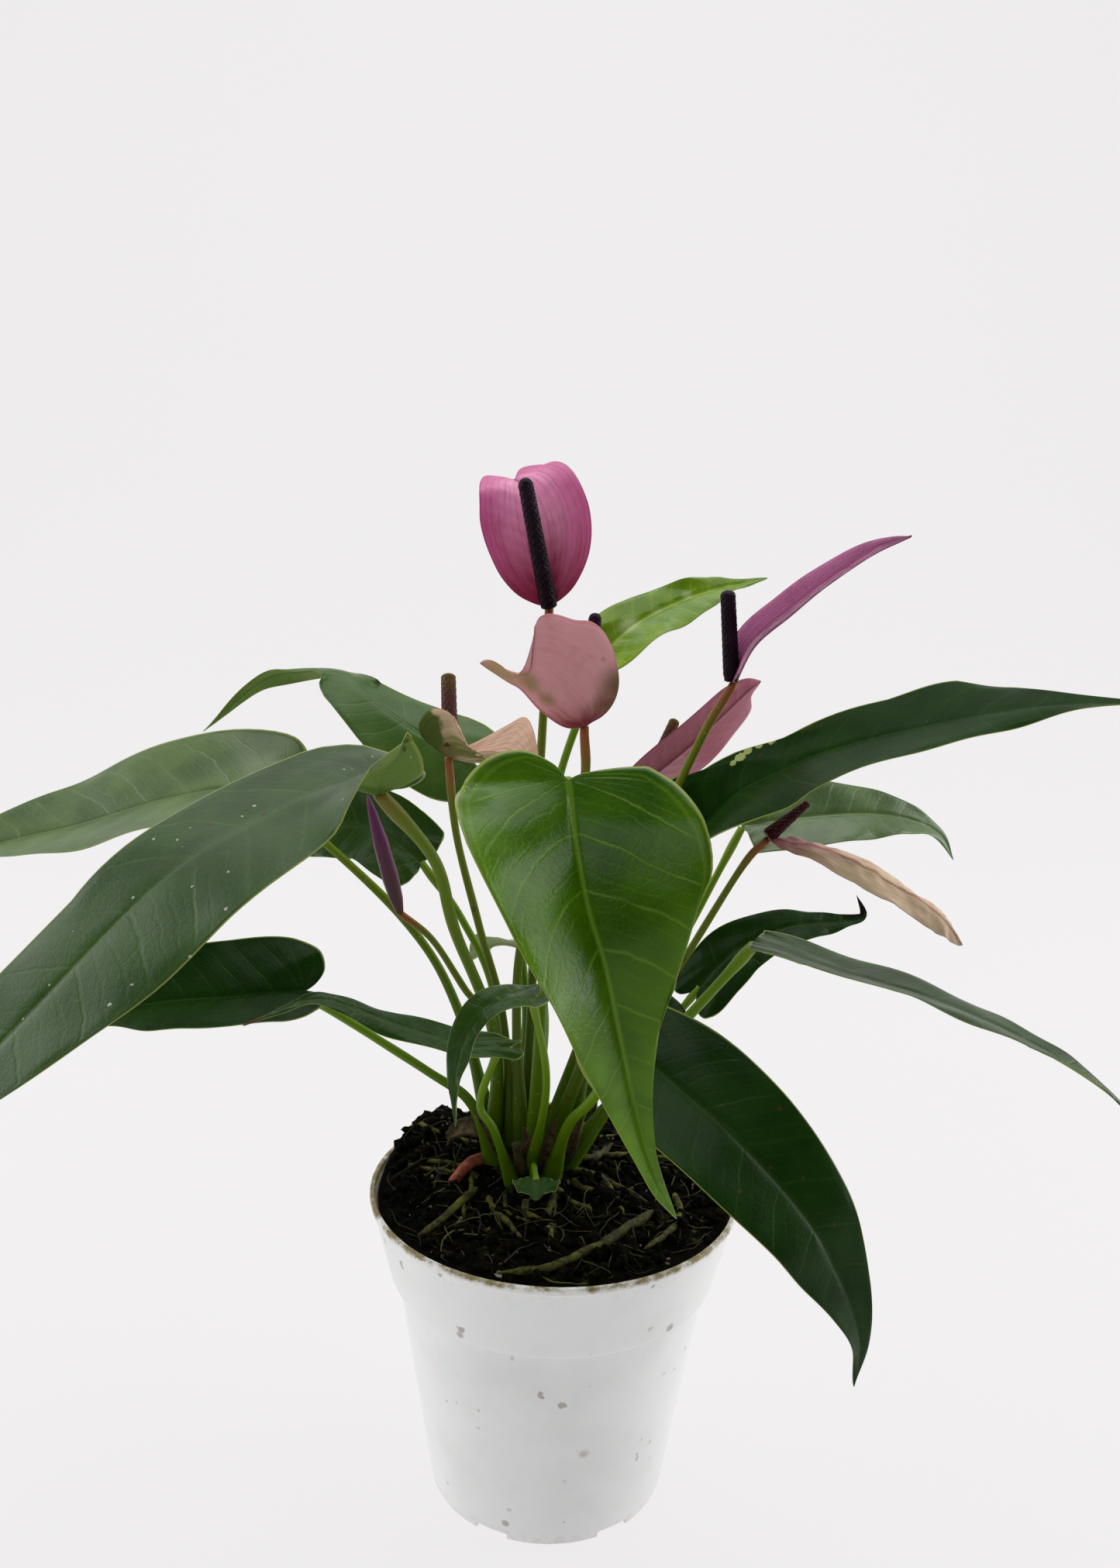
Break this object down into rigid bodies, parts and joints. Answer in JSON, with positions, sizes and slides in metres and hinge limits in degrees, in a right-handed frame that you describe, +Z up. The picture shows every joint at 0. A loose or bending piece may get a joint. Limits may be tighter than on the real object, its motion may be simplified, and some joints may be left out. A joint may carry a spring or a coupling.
{
  "type": "potted anthurium",
  "caption": "Compact anthurium with heart-shaped to oblong glossy leaves and pink to purple flowers, rooted in a mounded root ball in a plain round nursery pot.",
  "frame": {"origin": "centre of the pot's flat underside", "axes": "+Z up; -Y is the plant's front, where the bright heart-shaped leaf hangs; +X is to the right seen from the front"},
  "size_m": [0.3363, 0.1845, 0.2905],
  "materials": {
    "pot_plastic": "satin",
    "soil": "matte",
    "rootstock": "matte",
    "root": "matte",
    "leaf": "gloss",
    "front_leaf": "gloss",
    "petiole": "satin",
    "peduncle": "satin",
    "spadix": "matte",
    "spathe_purple": "satin",
    "spathe_cup": "satin",
    "spathe_violet": "satin",
    "spathe_rose": "satin",
    "spathe_green": "satin",
    "spathe_faded": "matte",
    "bud": "satin"
  },
  "bodies": {
    "root": {"bud": "bud", "crown": "rootstock", "leaf_back": "leaf", "leaf_back_left": "leaf", "leaf_back_right": "leaf", "leaf_centre_small": "leaf", "leaf_drooping": "leaf", "leaf_front": "front_leaf", "leaf_inner_left": "leaf", "leaf_left": "leaf", "leaf_left_back": "leaf", "leaf_left_low": "leaf", "leaf_left_small": "leaf", "leaf_right": "leaf", "leaf_right_back": "leaf", "leaf_right_hidden": "leaf", "leaf_right_low": "leaf", "leaf_right_mid": "leaf", "leaf_seedling": "leaf", "peduncle_bud": "peduncle", "peduncle_cup": "peduncle", "peduncle_faded": "peduncle", "peduncle_green": "peduncle", "peduncle_purple": "peduncle", "peduncle_rose": "peduncle", "peduncle_violet": "peduncle", "petiole_back": "petiole", "petiole_back_left": "petiole", "petiole_back_right": "petiole", "petiole_centre_small": "petiole", "petiole_drooping": "petiole", "petiole_front": "petiole", "petiole_inner_left": "petiole", "petiole_left": "petiole", "petiole_left_back": "petiole", "petiole_left_low": "petiole", "petiole_left_small": "petiole", "petiole_right": "petiole", "petiole_right_back": "petiole", "petiole_right_hidden": "petiole", "petiole_right_low": "petiole", "petiole_right_mid": "petiole", "petiole_seedling": "petiole", "pot": "pot_plastic", "root_front": "root", "root_left": "root", "root_right": "root", "soil": "soil", "spadix_cup": "spadix", "spadix_faded": "spadix", "spadix_green": "spadix", "spadix_purple": "spadix", "spadix_rose": "spadix", "spadix_violet": "spadix", "spathe_cup": "spathe_cup", "spathe_faded": "spathe_faded", "spathe_green": "spathe_green", "spathe_purple": "spathe_purple", "spathe_rose": "spathe_rose", "spathe_violet": "spathe_violet"}
  },
  "joints": []
}
